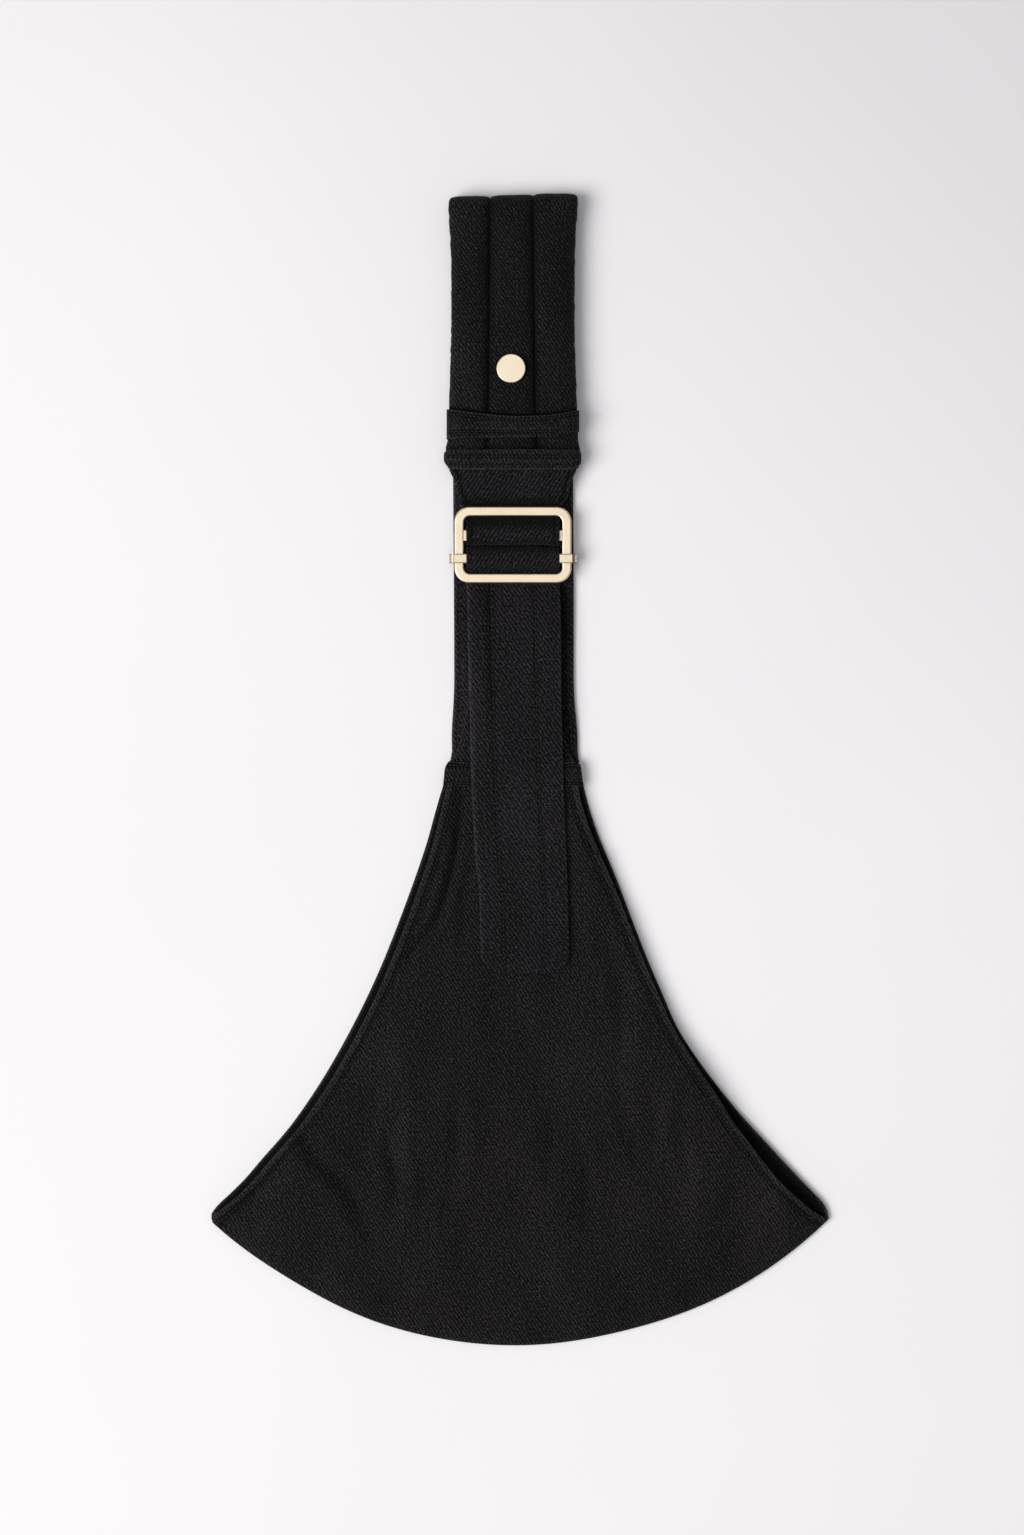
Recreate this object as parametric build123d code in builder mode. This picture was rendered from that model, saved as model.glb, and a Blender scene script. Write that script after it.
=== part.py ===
"""Baby wrap sling, folded double and lying flat.

A padded shoulder section is folded over at the top. Its back end carries the wide back strap,
its front end the short connector strap of a sliding-bar buckle. The adjuster strap comes up
from the pouch, turns over the buckle's sliding bar and lies on top as a free tail.

Millimetres. X runs across the sling, +Y towards the shoulder fold and +Z up from the floor.
The origin is the bottom centre of the bounding box.
"""

from build123d import *
import os

# overall size
FOLD_TOP_Y = 368.5          # the fold at the shoulder
POUCH_BOTTOM_Y = -368.5     # the lowest point of the pouch

# cloth
LAYER = 0.8                 # one layer of woven cloth
STRAP_THICK = 1.5           # a strap of two layers with its turnings
GAP = 0.3                   # clearance between pieces that move apart

# padded shoulder section
PAD_WIDTH = 80.6
PAD_END_Y = 202.0           # both ends of the padding, one above the other
PAD_HALF_THICK = 9.0        # fold axis to the crown of a channel
PAD_INNER = 0.6             # fold axis to the lining
CHANNELS = 3
CHANNEL_SAG = 5.5           # crown of a channel to the valley beside it
WADDING_WIDTH = 24.0
PAD_FOLD_Y = FOLD_TOP_Y - PAD_HALF_THICK
PAD_FOLD_Z = PAD_HALF_THICK
PAD_TOP = 2 * PAD_HALF_THICK

# turned and stitched ends of the padded section
HEM_END_Y = 190.9
HEM_WIDTH = 85.0
HEM_CORNER = 5.0

# keeper band across the front of the padded section
KEEPER_Y = 219.0
KEEPER_LENGTH = 17.0
KEEPER_THICK = 0.9
KEEPER_WIDTH = 84.4
KEEPER_SIDE_Z = 14.0

# stud button
BUTTON_Y = 254.9
BUTTON_X = -1.2
BUTTON_RADIUS = 9.2
BUTTON_THICK = 1.8
BUTTON_RIM = 1.1
BUTTON_RECESS = 0.25
BUTTON_SEAT = 0.2
TACK_RADIUS = 6.0
TACK_THICK = 0.8
SHANK_RADIUS = 2.0
SHANK_HOLE = 2.2

# straps
BACK_STRAP_WIDTH = 77.0
BACK_STRAP_THICK = 4.0      # several layers folded over one another
CONNECTOR_WIDTH = 74.0
WEBBING_WIDTH = 59.0
LEG_WIDTH = 56.0
FLARE_Y = 48.0              # the straps widen from here down to the pouch
LEG_FLARE = 15.0
BACK_FLARE = 4.5
TAIL_END_Y = -129.8
TAIL_TOP_WIDTH = 59.5
TAIL_END_WIDTH = 56.0
TAIL_CORNER = 12.0
TAIL_Z = 8.9
LEG_Z = 4.9

# buckle frame with its fixed centre bar
FRAME_Y = 143.15
FRAME_WIDTH = 74.6
FRAME_LENGTH = 48.7
FRAME_BAND = 6.0
FRAME_THICK = 2.8
FRAME_Z = 8.4
FRAME_CORNER = 9.6
FRAME_INNER_CORNER = 4.0
CENTRE_BAR_Y = 149.0
CENTRE_BAR_LENGTH = 6.4

# sliding bar
SLIDE_BAR_Y = 134.3
SLIDE_BAR_LENGTH = 5.8
SLIDE_BAR_THICK = 1.9
CLIP_THICK = 1.4
CLIP_CLEAR = 0.3
CLIP_INNER_X = 29.8

# pouch
POUCH_TOP_Y = 3.2
POUCH_HALF_WIDTH = 197.8
BOTTOM_RADIUS = 283.0
BACK_TOP_Z = 2 * LAYER
FRONT_Z = 6.4
SIDE_INSET = 5.0            # the front panel's sides stand inside the back panel's
BAND_WIDTH = 88.8
BAND_END_Y = -9.4
BAND_THICK = 0.6
SEAM_WALL = 1.0

BOTTOM_CENTRE_Y = POUCH_BOTTOM_Y + BOTTOM_RADIUS

# half width of the back panel at each height down its curved side
SIDE_CURVE = [
    (44.8, POUCH_TOP_Y),
    (50.6, -32.5),
    (69.4, -83.7),
    (95.0, -147.7),
    (124.8, -198.9),
    (167.4, -250.1),
]

os.makedirs("parts", exist_ok=True)


def save(part, label):
    """Label one piece and write it to its own STEP file."""
    part.label = label
    export_step(part, "parts/" + label + ".step")


def panel_outline(inset, radius):
    """Close the outline of a pouch panel: two concave sides and one round bottom."""
    half_tip = POUCH_HALF_WIDTH - inset
    rise = (radius**2 - half_tip**2) ** 0.5
    tip = (half_tip, BOTTOM_CENTRE_Y - rise)
    side = [(x - inset, y) for x, y in SIDE_CURVE] + [tip]
    other = [(-x, y) for x, y in side]
    Line(other[0], side[0])
    Spline(*side)
    ThreePointArc(side[-1], (0, BOTTOM_CENTRE_Y - radius), other[-1])
    Spline(*other[::-1])


# ---------------------------------------------------------------- pouch, back

with BuildPart() as back_outer:
    with BuildSketch(Plane.XY):
        with BuildLine():
            panel_outline(0, BOTTOM_RADIUS)
        make_face()
    extrude(amount=LAYER)

with BuildPart() as back_lining:
    with BuildSketch(Plane.XY.offset(LAYER)):
        with BuildLine():
            panel_outline(1.0, BOTTOM_RADIUS - 0.6)
        make_face()
    extrude(amount=LAYER)

with BuildPart() as back_band:
    with BuildSketch(Plane.YZ):
        with BuildLine():
            Polyline(
                (BAND_END_Y, BACK_TOP_Z),
                (POUCH_TOP_Y, BACK_TOP_Z),
                (POUCH_TOP_Y, 0),
                (POUCH_TOP_Y + LAYER, 0),
                (POUCH_TOP_Y + LAYER, BACK_TOP_Z + BAND_THICK),
                (BAND_END_Y, BACK_TOP_Z + BAND_THICK),
                close=True,
            )
        make_face()
    extrude(amount=BAND_WIDTH / 2, both=True)

# --------------------------------------------------------------- pouch, front

with BuildPart() as front_outer:
    with BuildSketch(Plane.XY.offset(FRONT_Z + LAYER)):
        with BuildLine():
            panel_outline(SIDE_INSET, BOTTOM_RADIUS)
        make_face()
    extrude(amount=LAYER)
    # the turned-down edge that is sewn to the back panel round the bottom
    with BuildSketch(Plane.XY.offset(BACK_TOP_Z)):
        with BuildLine():
            panel_outline(SIDE_INSET, BOTTOM_RADIUS)
        make_face()
        with Locations((0, BOTTOM_CENTRE_Y)):
            Circle(BOTTOM_RADIUS - SEAM_WALL, mode=Mode.SUBTRACT)
    extrude(amount=FRONT_Z + LAYER - BACK_TOP_Z)

with BuildPart() as front_lining:
    with BuildSketch(Plane.XY.offset(FRONT_Z)):
        with BuildLine():
            panel_outline(SIDE_INSET + 1.0, BOTTOM_RADIUS - SEAM_WALL - 0.2)
        make_face()
    extrude(amount=LAYER)

front_top_z = FRONT_Z + 2 * LAYER

with BuildPart() as front_band:
    with BuildSketch(Plane.YZ):
        with BuildLine():
            Polyline(
                (BAND_END_Y, front_top_z),
                (POUCH_TOP_Y, front_top_z),
                (POUCH_TOP_Y, FRONT_Z),
                (POUCH_TOP_Y + LAYER, FRONT_Z),
                (POUCH_TOP_Y + LAYER, front_top_z + BAND_THICK),
                (BAND_END_Y, front_top_z + BAND_THICK),
                close=True,
            )
        make_face()
    extrude(amount=BAND_WIDTH / 2, both=True)

# ---------------------------------------------------------- padded section

pad_plane = Plane.XZ.offset(-PAD_FOLD_Y)
pad_fold = Axis((0, PAD_FOLD_Y, PAD_FOLD_Z), (-1, 0, 0))
pad_mirror = Plane.XY.offset(PAD_FOLD_Z)
pad_run = PAD_FOLD_Y - PAD_END_Y

channel = PAD_WIDTH / CHANNELS
channel_radius = ((channel / 2) ** 2 + CHANNEL_SAG**2) / (2 * CHANNEL_SAG)
arc_z = PAD_TOP - channel_radius
lining_z = PAD_FOLD_Z + PAD_INNER


def arc_height(radius, across):
    """Height of a channel's arc of this radius, at a distance from the channel's middle."""
    return arc_z + (radius**2 - across**2) ** 0.5


def scallops(radius, half_channel):
    """One arc over each channel, from the left edge of the pad to the right."""
    for n in range(CHANNELS):
        middle = (n - (CHANNELS - 1) / 2) * channel
        left = half_channel if n == 0 else channel / 2
        right = half_channel if n == CHANNELS - 1 else channel / 2
        ThreePointArc(
            (middle - left, arc_height(radius, left)),
            (middle, arc_z + radius),
            (middle + right, arc_height(radius, right)),
        )


def fold_over(section):
    """Run a cross-section down the front, round the fold and down the back."""
    extrude(section, amount=pad_run)
    mirror(about=pad_mirror)
    revolve(section, axis=pad_fold, revolution_arc=180)


half_pad = PAD_WIDTH / 2
inner_radius = channel_radius - LAYER
inner_half = channel / 2 - LAYER

with BuildPart() as pad_cover:
    with BuildSketch(pad_plane) as cover_section:
        with BuildLine():
            scallops(channel_radius, channel / 2)
            Polyline(
                (half_pad, arc_height(channel_radius, channel / 2)),
                (half_pad, lining_z),
                (half_pad - LAYER, lining_z),
                (half_pad - LAYER, arc_height(inner_radius, inner_half)),
            )
            scallops(inner_radius, inner_half)
            Polyline(
                (-half_pad, arc_height(channel_radius, channel / 2)),
                (-half_pad, lining_z),
                (-half_pad + LAYER, lining_z),
                (-half_pad + LAYER, arc_height(inner_radius, inner_half)),
            )
        make_face()
    fold_over(cover_section.sketch)
    with Locations((BUTTON_X, BUTTON_Y, PAD_TOP)):
        Cylinder(SHANK_HOLE, 4 * LAYER, mode=Mode.SUBTRACT)

with BuildPart() as pad_lining:
    with BuildSketch(pad_plane) as lining_section:
        with Locations((0, lining_z + LAYER / 2)):
            Rectangle(PAD_WIDTH - 2 * LAYER - 0.2, LAYER)
    fold_over(lining_section.sketch)


def wadding_outline(middle):
    """Cross-section of the wadding that fills one channel."""
    half = WADDING_WIDTH / 2
    radius = inner_radius - 0.2
    foot = lining_z + LAYER + 0.1
    shoulder = arc_height(radius, half)
    Polyline(
        (middle - half, shoulder),
        (middle - half, foot),
        (middle + half, foot),
        (middle + half, shoulder),
    )
    ThreePointArc((middle - half, shoulder), (middle, arc_z + radius), (middle + half, shoulder))


tack_top = arc_height(inner_radius, TACK_RADIUS + abs(BUTTON_X)) - 0.05

for n, side in enumerate(["left", "middle", "right"]):
    with BuildPart() as wadding:
        with BuildSketch(pad_plane) as wadding_section:
            with BuildLine():
                wadding_outline((n - 1) * channel)
            make_face()
        fold_over(wadding_section.sketch)
        if side == "middle":
            pocket_z = tack_top - TACK_THICK - 0.2
            with Locations((BUTTON_X, BUTTON_Y, (pocket_z + PAD_TOP) / 2)):
                Cylinder(TACK_RADIUS + 0.3, PAD_TOP - pocket_z, mode=Mode.SUBTRACT)
    save(wadding.part, "wadding_" + side)


def hem(profile):
    """A turned end of the padded section, with rounded corners in plan."""
    with BuildPart() as end:
        with BuildSketch(Plane.YZ):
            with BuildLine():
                Polyline(*profile, close=True)
            make_face()
        extrude(amount=HEM_WIDTH / 2, both=True)
        with BuildSketch(Plane.XY):
            with Locations((0, HEM_END_Y + 20)):
                RectangleRounded(HEM_WIDTH, 40, HEM_CORNER)
        extrude(amount=2 * PAD_TOP, mode=Mode.INTERSECT)
    return end.part


front_strap_top = 10.65
hem_front = hem([
    (PAD_END_Y, front_strap_top + 0.1),
    (PAD_END_Y, 17.0),
    (197.5, 13.8),
    (HEM_END_Y, 13.2),
    (HEM_END_Y, front_strap_top + 0.1),
])
hem_back = hem([
    (PAD_END_Y, BACK_STRAP_THICK + 0.05),
    (PAD_END_Y, 8.2),
    (197.5, 6.4),
    (HEM_END_Y, 5.2),
    (HEM_END_Y, BACK_STRAP_THICK + 0.05),
])

# ------------------------------------------------------------- keeper band

with BuildPart() as keeper:
    with BuildSketch(Plane.XZ.offset(-KEEPER_Y)):
        with BuildLine():
            half_keeper = (KEEPER_WIDTH - KEEPER_THICK) / 2
            keeper_top = PAD_TOP + BUTTON_SEAT + KEEPER_THICK / 2
            FilletPolyline(
                (-half_keeper, lining_z + 0.3),
                (-half_keeper, keeper_top),
                (half_keeper, keeper_top),
                (half_keeper, lining_z + 0.3),
                radius=KEEPER_SIDE_Z - lining_z,
            )
        trace(line_width=KEEPER_THICK)
    extrude(amount=KEEPER_LENGTH / 2, both=True)

# ------------------------------------------------------------ stud button

with BuildPart() as button_cap:
    with BuildSketch(Plane.XY.offset(PAD_TOP + BUTTON_SEAT)):
        with Locations((BUTTON_X, BUTTON_Y)):
            Circle(BUTTON_RADIUS)
    extrude(amount=BUTTON_THICK)
    with BuildSketch(Plane.XY.offset(PAD_TOP + BUTTON_SEAT + BUTTON_THICK)):
        with Locations((BUTTON_X, BUTTON_Y)):
            Circle(BUTTON_RADIUS - BUTTON_RIM)
    extrude(amount=-BUTTON_RECESS, mode=Mode.SUBTRACT)
    fillet(button_cap.edges().filter_by(GeomType.CIRCLE).group_by(SortBy.RADIUS)[-1], 0.5)

with BuildPart() as button_tack:
    with BuildSketch(Plane.XY.offset(tack_top)):
        with Locations((BUTTON_X, BUTTON_Y)):
            Circle(TACK_RADIUS)
    extrude(amount=-TACK_THICK)
    with BuildSketch(Plane.XY.offset(tack_top)):
        with Locations((BUTTON_X, BUTTON_Y)):
            Circle(SHANK_RADIUS)
    extrude(amount=PAD_TOP + BUTTON_SEAT - tack_top)

# ------------------------------------------------------------------ straps


def flared_strap(width, flare, top_y, foot_y, foot_flare_y):
    """Outline of a strap that widens in a curve towards the pouch."""
    half = width / 2
    foot = half + flare
    mid_y = (FLARE_Y + foot_flare_y) / 2
    Polyline((-half, FLARE_Y), (-half, top_y), (half, top_y), (half, FLARE_Y))
    for side in (-1, 1):
        ThreePointArc(
            (side * half, FLARE_Y),
            (side * (half + flare * 0.3), mid_y),
            (side * foot, foot_flare_y),
        )
    Polyline(
        (-foot, foot_flare_y),
        (-foot, foot_y),
        (foot, foot_y),
        (foot, foot_flare_y),
    )


band_top_y = POUCH_TOP_Y + LAYER

with BuildPart() as back_strap:
    with BuildSketch(Plane.XY):
        with BuildLine():
            flared_strap(BACK_STRAP_WIDTH, BACK_FLARE, PAD_END_Y, band_top_y, band_top_y + 2)
        make_face()
    extrude(amount=BACK_STRAP_THICK)

frame_top_y = FRAME_Y + FRAME_LENGTH / 2
frame_bottom_y = FRAME_Y - FRAME_LENGTH / 2
hinge_y = frame_top_y + GAP
hinge_z = 6.7

with BuildPart() as connector_strap:
    with BuildSketch(Plane.YZ):
        with BuildLine():
            FilletPolyline(
                (199.0, front_strap_top - STRAP_THICK / 2),
                (HEM_END_Y, front_strap_top - STRAP_THICK / 2),
                (177.0, hinge_z),
                (hinge_y + 1.2, hinge_z),
                radius=8,
            )
        trace(line_width=STRAP_THICK)
    extrude(amount=CONNECTOR_WIDTH / 2, both=True)
    with BuildSketch(Plane.XY):
        with BuildLine():
            half_wide = CONNECTOR_WIDTH / 2
            half_slim = WEBBING_WIDTH / 2
            Polyline(
                (-half_wide, 200),
                (-half_wide, 180),
                (-half_slim, hinge_y),
                (half_slim, hinge_y),
                (half_wide, 180),
                (half_wide, 200),
                close=True,
            )
        make_face()
    extrude(amount=2 * PAD_TOP, mode=Mode.INTERSECT)

loop_low = hinge_z - STRAP_THICK / 2 - 0.05
loop_high = hinge_z + STRAP_THICK / 2 + 0.05
bar_top_z = FRAME_Z + FRAME_THICK + 0.2 + STRAP_THICK / 2
bend_radius = (bar_top_z - loop_low) / 2
bar_low_y = CENTRE_BAR_Y - CENTRE_BAR_LENGTH / 2
bar_high_y = CENTRE_BAR_Y + CENTRE_BAR_LENGTH / 2

with BuildPart() as connector_loop:
    with BuildSketch(Plane.YZ):
        with BuildLine():
            Line((hinge_y - 1.2, loop_low), (bar_low_y + 1.0, loop_low))
            ThreePointArc(
                (bar_low_y + 1.0, loop_low),
                (bar_low_y + 1.0 - bend_radius, (loop_low + bar_top_z) / 2),
                (bar_low_y + 1.0, bar_top_z),
            )
            FilletPolyline(
                (bar_low_y + 1.0, bar_top_z),
                (bar_high_y + 1.4, bar_top_z),
                (bar_high_y + 4.0, loop_high),
                (hinge_y - 1.2, loop_high),
                radius=2,
            )
        trace(line_width=STRAP_THICK)
    extrude(amount=WEBBING_WIDTH / 2, both=True)

bar_front_z = FRAME_Z + FRAME_THICK + STRAP_THICK / 2
leg_mid_z = LEG_Z + STRAP_THICK / 2
return_mid_z = leg_mid_z + STRAP_THICK + GAP
slide_high_y = SLIDE_BAR_Y + SLIDE_BAR_LENGTH / 2
slide_low_y = SLIDE_BAR_Y - SLIDE_BAR_LENGTH / 2
wrap_radius = (bar_front_z - leg_mid_z) / 2
wrap_end_y = frame_bottom_y + 0.7
drop_y = slide_low_y - GAP - STRAP_THICK / 2

with BuildPart() as adjuster_wrap:
    with BuildSketch(Plane.YZ):
        with BuildLine():
            Line((wrap_end_y, leg_mid_z), (slide_high_y, leg_mid_z))
            ThreePointArc(
                (slide_high_y, leg_mid_z),
                (slide_high_y + wrap_radius, (leg_mid_z + bar_front_z) / 2),
                (slide_high_y, bar_front_z),
            )
            FilletPolyline(
                (slide_high_y, bar_front_z),
                (drop_y, bar_front_z),
                (drop_y, return_mid_z),
                (wrap_end_y, return_mid_z),
                radius=0.9,
            )
        trace(line_width=STRAP_THICK)
    extrude(amount=WEBBING_WIDTH / 2, both=True)

leg_top_y = wrap_end_y - 3.0

with BuildPart() as adjuster_leg:
    with BuildSketch(Plane.XY.offset(LEG_Z)):
        with BuildLine():
            flared_strap(LEG_WIDTH, LEG_FLARE, leg_top_y, BAND_END_Y, band_top_y)
        make_face()
    extrude(amount=STRAP_THICK)

tail_top_y = frame_bottom_y - 0.6

with BuildPart() as adjuster_tail:
    with BuildSketch(Plane.XY.offset(TAIL_Z)) as tail_outline:
        with BuildLine():
            Polyline(
                (-TAIL_TOP_WIDTH / 2, tail_top_y),
                (TAIL_TOP_WIDTH / 2, tail_top_y),
                (TAIL_END_WIDTH / 2, TAIL_END_Y),
                (-TAIL_END_WIDTH / 2, TAIL_END_Y),
                close=True,
            )
        make_face()
        fillet(tail_outline.vertices().group_by(Axis.Y)[0], TAIL_CORNER)
    extrude(amount=STRAP_THICK)

# ------------------------------------------------------------------ buckle

with BuildPart() as buckle_frame:
    with BuildSketch(Plane.XY.offset(FRAME_Z)):
        with Locations((0, FRAME_Y)):
            RectangleRounded(FRAME_WIDTH, FRAME_LENGTH, FRAME_CORNER)
            RectangleRounded(
                FRAME_WIDTH - 2 * FRAME_BAND,
                FRAME_LENGTH - 2 * FRAME_BAND,
                FRAME_INNER_CORNER,
                mode=Mode.SUBTRACT,
            )
    extrude(amount=FRAME_THICK)
    fillet(buckle_frame.faces().sort_by(Axis.Z)[-1].edges(), 1.0)
    fillet(buckle_frame.faces().sort_by(Axis.Z)[0].edges(), 0.6)
    with BuildSketch(Plane.XY.offset(FRAME_Z + 0.3)):
        with Locations((0, CENTRE_BAR_Y)):
            Rectangle(FRAME_WIDTH - FRAME_BAND, CENTRE_BAR_LENGTH)
    extrude(amount=FRAME_THICK - 0.6)

rail_inner_x = FRAME_WIDTH / 2 - FRAME_BAND
rail_outer_x = FRAME_WIDTH / 2
clip_low = FRAME_Z - CLIP_CLEAR
clip_high = FRAME_Z + FRAME_THICK + CLIP_CLEAR
clip_mid_z = (clip_low + clip_high) / 2
slide_bar_z = FRAME_Z + (FRAME_THICK - SLIDE_BAR_THICK) / 2

with BuildPart() as slide_bar:
    with BuildSketch(Plane.XY.offset(slide_bar_z)):
        with Locations((0, SLIDE_BAR_Y)):
            Rectangle(2 * CLIP_INNER_X + 1, SLIDE_BAR_LENGTH)
    extrude(amount=SLIDE_BAR_THICK)
    # each end is folded round a side rail of the frame
    with BuildSketch(Plane.XZ.offset(-SLIDE_BAR_Y)):
        for side in (-1, 1):
            outer = side * (rail_outer_x + CLIP_CLEAR)
            inner = side * CLIP_INNER_X
            wall = side * (rail_inner_x - CLIP_CLEAR)
            with Locations(((outer + inner) / 2, clip_mid_z)):
                Rectangle(abs(outer - inner), clip_high - clip_low + 2 * CLIP_THICK)
            with Locations((outer, clip_mid_z)):
                Circle((clip_high - clip_low) / 2 + CLIP_THICK)
            with Locations(((outer + wall) / 2, clip_mid_z)):
                Rectangle(abs(outer - wall), clip_high - clip_low, mode=Mode.SUBTRACT)
            with Locations((outer, clip_mid_z)):
                Circle((clip_high - clip_low) / 2, mode=Mode.SUBTRACT)
    extrude(amount=SLIDE_BAR_LENGTH / 2, both=True)

# ------------------------------------------------------------ STEP files

save(back_outer.part, "pouch_back_outer")
save(back_lining.part, "pouch_back_lining")
save(back_band.part, "pouch_back_band")
save(front_outer.part, "pouch_front_outer")
save(front_lining.part, "pouch_front_lining")
save(front_band.part, "pouch_front_band")
save(pad_cover.part, "pad_cover")
save(pad_lining.part, "pad_lining")
save(hem_front, "pad_hem_front")
save(hem_back, "pad_hem_back")
save(keeper.part, "keeper_band")
save(button_cap.part, "button_cap")
save(button_tack.part, "button_tack")
save(back_strap.part, "back_strap")
save(connector_strap.part, "connector_strap")
save(connector_loop.part, "connector_loop")
save(adjuster_leg.part, "adjuster_leg")
save(adjuster_wrap.part, "adjuster_wrap")
save(adjuster_tail.part, "adjuster_tail")
save(buckle_frame.part, "buckle_frame")
save(slide_bar.part, "slide_bar")
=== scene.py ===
"""Looks of the baby wrap sling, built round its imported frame.

Shapes are worked out in millimetres, in the CAD model's frame, and turned into metres when a
mesh is made. Each cloth piece except the padded section's cover is a grid of points on its
middle surface, thickened into a closed form with rounded borders, with its rows of stitches as
raised thread. The cover is a tube of rings.
"""

import math

import bmesh
import bpy
import numpy as np
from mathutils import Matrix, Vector


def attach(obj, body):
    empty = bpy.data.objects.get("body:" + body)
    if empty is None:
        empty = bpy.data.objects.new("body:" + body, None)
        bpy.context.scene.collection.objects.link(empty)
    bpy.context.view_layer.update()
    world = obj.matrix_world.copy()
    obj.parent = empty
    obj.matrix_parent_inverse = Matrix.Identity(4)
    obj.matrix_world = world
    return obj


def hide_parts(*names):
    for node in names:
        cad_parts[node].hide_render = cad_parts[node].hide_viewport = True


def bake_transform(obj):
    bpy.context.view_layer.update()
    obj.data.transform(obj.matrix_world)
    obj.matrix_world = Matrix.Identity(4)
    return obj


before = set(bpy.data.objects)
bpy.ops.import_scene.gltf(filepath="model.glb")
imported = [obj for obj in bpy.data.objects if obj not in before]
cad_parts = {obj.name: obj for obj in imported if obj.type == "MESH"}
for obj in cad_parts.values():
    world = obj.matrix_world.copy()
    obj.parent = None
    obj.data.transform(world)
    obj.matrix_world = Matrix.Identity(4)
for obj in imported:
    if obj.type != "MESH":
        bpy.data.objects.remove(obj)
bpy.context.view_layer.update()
MM = 0.001


# ------------------------------ curves and noise

def ease(a, b, t):
    """0 before a, 1 after b, smooth between."""
    t = np.clip((np.asarray(t, float) - a) / (b - a), 0, 1)
    return t * t * (3 - 2 * t)


def bell(t, width):
    """1 at 0, falling off smoothly to either side."""
    return np.exp(-((np.asarray(t, float) / width) ** 2))


def curve(points):
    """Smooth function through (t, value) points that never overshoots them."""
    t, v = np.array(sorted(points), float).T
    d = np.diff(v) / np.diff(t)
    m = np.concatenate([d[:1], np.zeros(len(d) - 1), d[-1:]])
    for i in range(1, len(d)):
        if d[i - 1] * d[i] > 0:
            m[i] = 2 * d[i - 1] * d[i] / (d[i - 1] + d[i])

    def at(q):
        q = np.clip(np.asarray(q, float), t[0], t[-1])
        k = np.clip(np.searchsorted(t, q, side="right") - 1, 0, len(t) - 2)
        h = t[k + 1] - t[k]
        s = (q - t[k]) / h
        return (
            (1 + 2 * s) * (1 - s) ** 2 * v[k]
            + s * (1 - s) ** 2 * h * m[k]
            + s * s * (3 - 2 * s) * v[k + 1]
            + s * s * (s - 1) * h * m[k + 1]
        )

    return at


def ripple(x, y, size, seed):
    """Smooth random field of about this wavelength, roughly -1 to 1."""
    rng = np.random.default_rng(seed)
    total = np.zeros(np.broadcast(x, y).shape)
    for _ in range(8):
        a = rng.uniform(0, 2 * math.pi)
        k = 2 * math.pi / (size * rng.uniform(0.7, 1.6))
        total = total + np.sin(k * (x * math.cos(a) + y * math.sin(a)) + rng.uniform(0, 6.28))
    return total / 4


def path(points, step=0.5):
    """A smooth line through points, sampled evenly: its samples and how far along each is."""
    p = np.array(points, float)
    p = np.vstack([2 * p[0] - p[1], p, 2 * p[-1] - p[-2]])
    out = []
    for i in range(1, len(p) - 2):
        a, b, c, d = p[i - 1 : i + 3]
        for s in np.linspace(0, 1, 24, endpoint=False):
            square = (2 * a - 5 * b + 4 * c - d) * s**2
            cube = (3 * b - a - 3 * c + d) * s**3
            out.append(0.5 * (2 * b + (c - a) * s + square + cube))
    out = np.array(out + [p[-2]])
    along = np.concatenate([[0], np.cumsum(np.linalg.norm(np.diff(out, axis=0), axis=1))])
    even = np.linspace(0, along[-1], max(2, round(along[-1] / step) + 1))
    return np.stack([np.interp(even, along, out[:, k]) for k in range(out.shape[1])], 1), even


def distance_to(x, y, line):
    """Distance from each point to the nearest sample of a line."""
    shape = np.shape(x)
    q = np.stack([np.ravel(x), np.ravel(y)], 1)
    best = np.full(len(q), 1e9)
    for k in range(0, len(q), 4000):
        gap = q[k : k + 4000, None, :] - line[None, :, :]
        best[k : k + 4000] = np.sqrt((gap**2).sum(2).min(1))
    return best.reshape(shape)


# ------------------------------ meshes

CRISP = 10  # how much less than others a crisp border is rounded
EDGE_WEAR_AND_HIGHLIGHT = 0.6  # how far borders are paler: wear, and a painted highlight where they catch the light
BESIDE = np.array([-0.9, -0.4, 0, 0.4, 0.9])  # the grid's lines beside a row of stitches, and on it


def spread(low, high, step, edge, lines=(), crisp=(False, False)):
    """Positions from low to high, closer in the borders and at stitch lines."""
    first, last = (edge / CRISP if c else edge for c in crisp)
    near = np.array([0, 0.07, 0.28, 0.62])
    inner = np.linspace(low + first, high - last, max(2, round((high - low - 2 * edge) / step) + 1))
    for line in lines:
        inner = inner[abs(inner - line) > 1.1]
        inner = np.concatenate([inner, line + BESIDE])
    return np.concatenate([low + first * near, np.sort(inner), high - last * near[::-1]])


def surface_normals(mid):
    """Unit normals of a grid of points."""
    n = np.cross(np.gradient(mid, axis=1), np.gradient(mid, axis=0))
    return n / np.maximum(np.linalg.norm(n, axis=2, keepdims=True), 1e-9)


def border_distance(mid, crisp):
    """Distance of each grid point from the nearest border, along the grid's lines.

    A crisp first or last row counts as further off, so that its border is hardly rounded.
    """
    across = np.linalg.norm(np.diff(mid, axis=1), axis=2)
    along = np.linalg.norm(np.diff(mid, axis=0), axis=2)
    a = np.pad(np.cumsum(across, 1), ((0, 0), (1, 0)))
    b = np.pad(np.cumsum(along, 0), ((1, 0), (0, 0)))
    first, last = (CRISP if c else 1 for c in crisp)
    return np.minimum(np.minimum(a, a[:, -1:] - a), np.minimum(b * first, (b[-1:] - b) * last))


def quads(index):
    """Faces over a grid of vertex numbers."""
    a, b = index[:-1, :-1].ravel(), index[:-1, 1:].ravel()
    c, d = index[1:, 1:].ravel(), index[1:, :-1].ravel()
    return np.stack([a, b, c, d], 1)


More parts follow.
